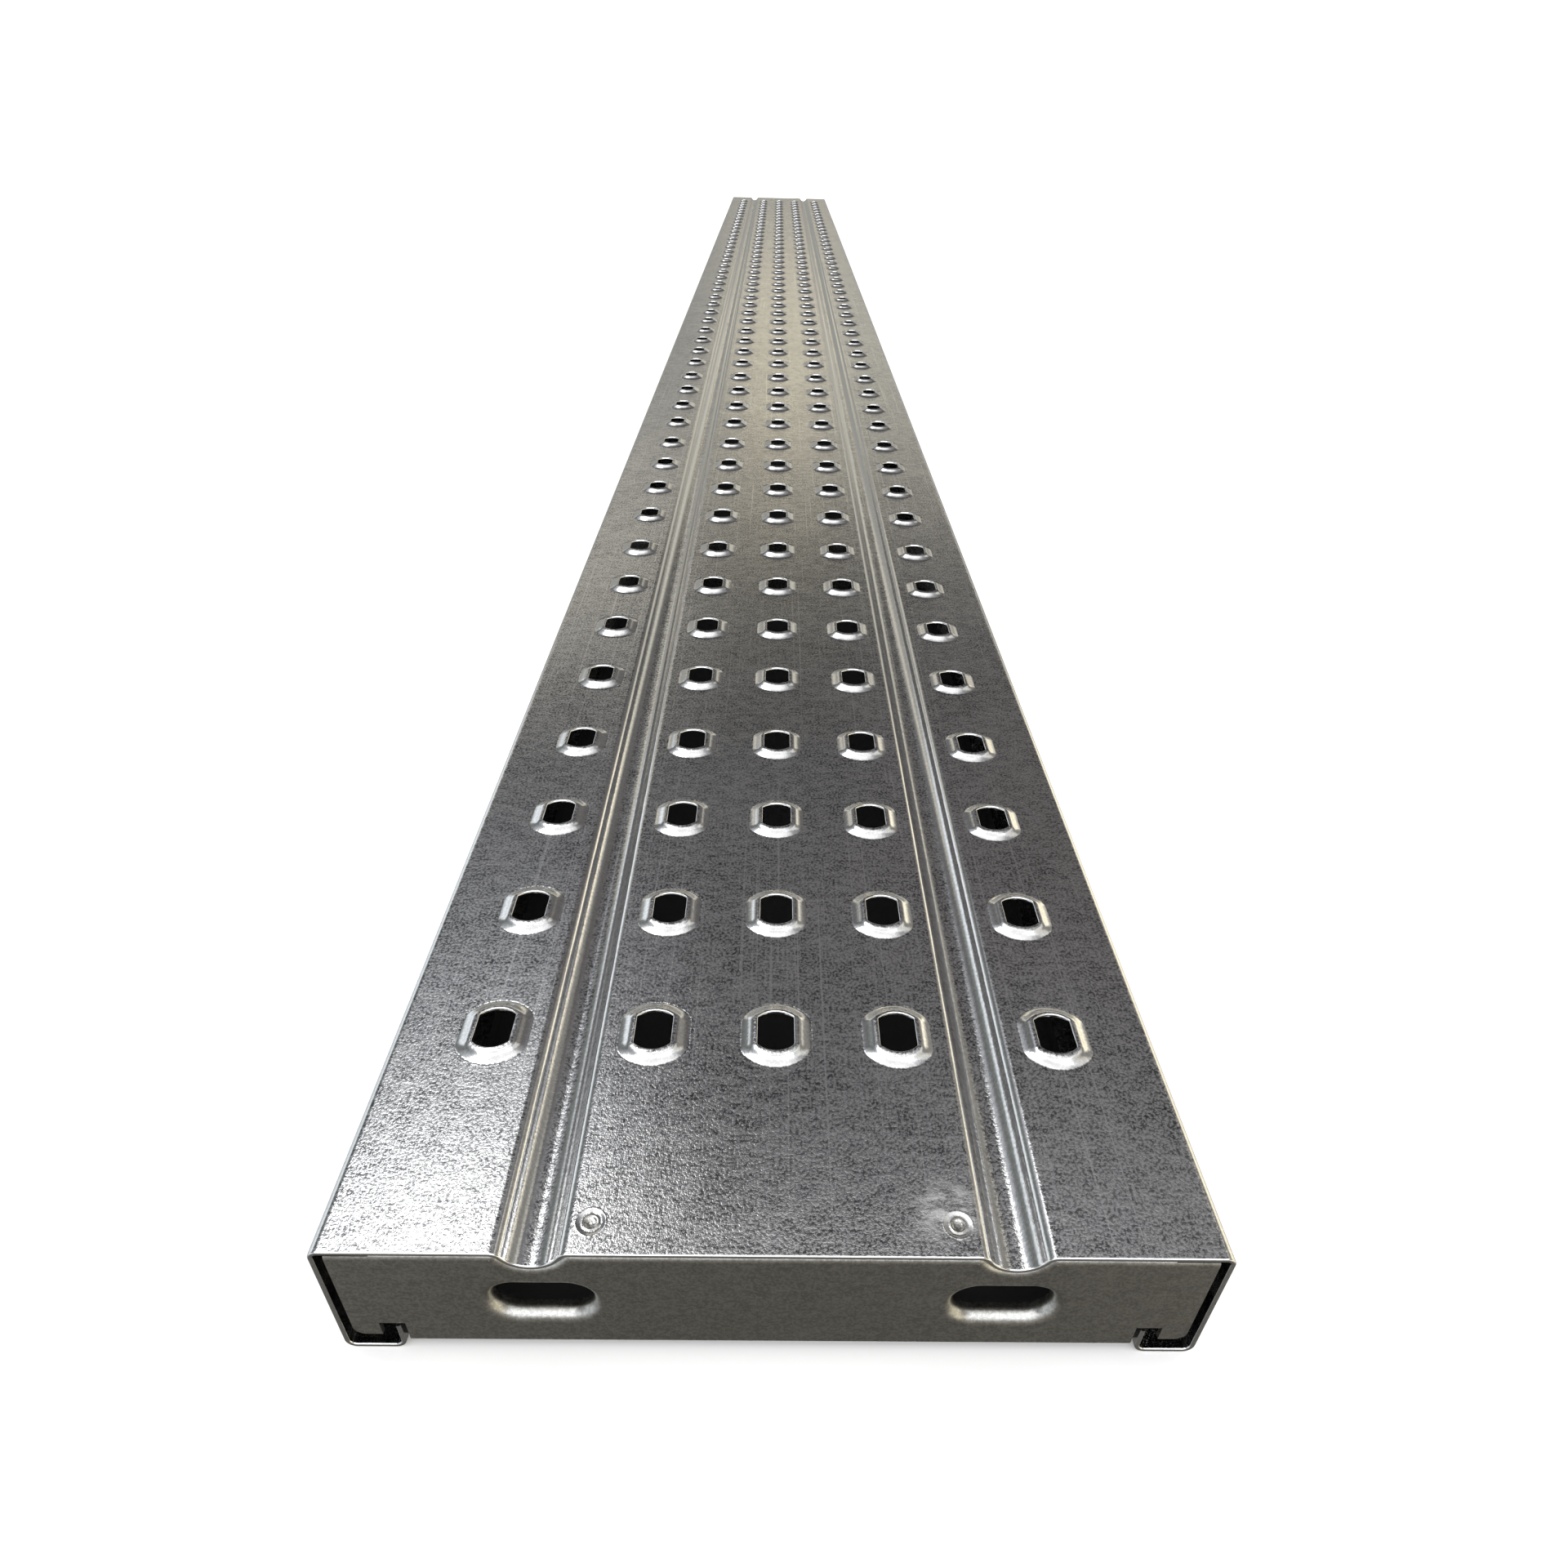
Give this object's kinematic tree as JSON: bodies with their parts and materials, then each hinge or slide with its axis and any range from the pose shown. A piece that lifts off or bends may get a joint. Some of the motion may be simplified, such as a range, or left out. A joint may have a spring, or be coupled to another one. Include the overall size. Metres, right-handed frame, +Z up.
{
  "type": "scaffold plank",
  "caption": "Perforated galvanised steel scaffold plank: ribbed channel deck with raised anti-slip holes, slotted end caps and cross ribs.",
  "frame": {"origin": "on the floor under the middle of the plank", "axes": "+X across the plank, +Y along it towards the far end, +Z up out of the deck"},
  "size_m": [0.25, 3, 0.0526],
  "materials": {
    "deck_zinc": "hot-dip galvanised, fine spangle, satin",
    "cap_zinc": "hot-dip galvanised, dull",
    "rib_zinc": "hot-dip galvanised, dull",
    "spot_weld": "pressed and lightly heat-dulled zinc",
    "weld_metal": "weld bead, zinc sprayed"
  },
  "bodies": {
    "root": {"deck_panel": "deck_zinc", "end_cap_near": "cap_zinc", "end_cap_far": "cap_zinc", "cap_spot_welds_near": "spot_weld", "cap_spot_welds_far": "spot_weld", "cross_rib_1": "rib_zinc", "cross_rib_2": "rib_zinc", "cross_rib_3": "rib_zinc", "cross_rib_4": "rib_zinc", "cross_rib_5": "rib_zinc", "rib_1_weld_beads": "weld_metal", "rib_2_weld_beads": "weld_metal", "rib_3_weld_beads": "weld_metal", "rib_4_weld_beads": "weld_metal", "rib_5_weld_beads": "weld_metal"}
  },
  "joints": []
}
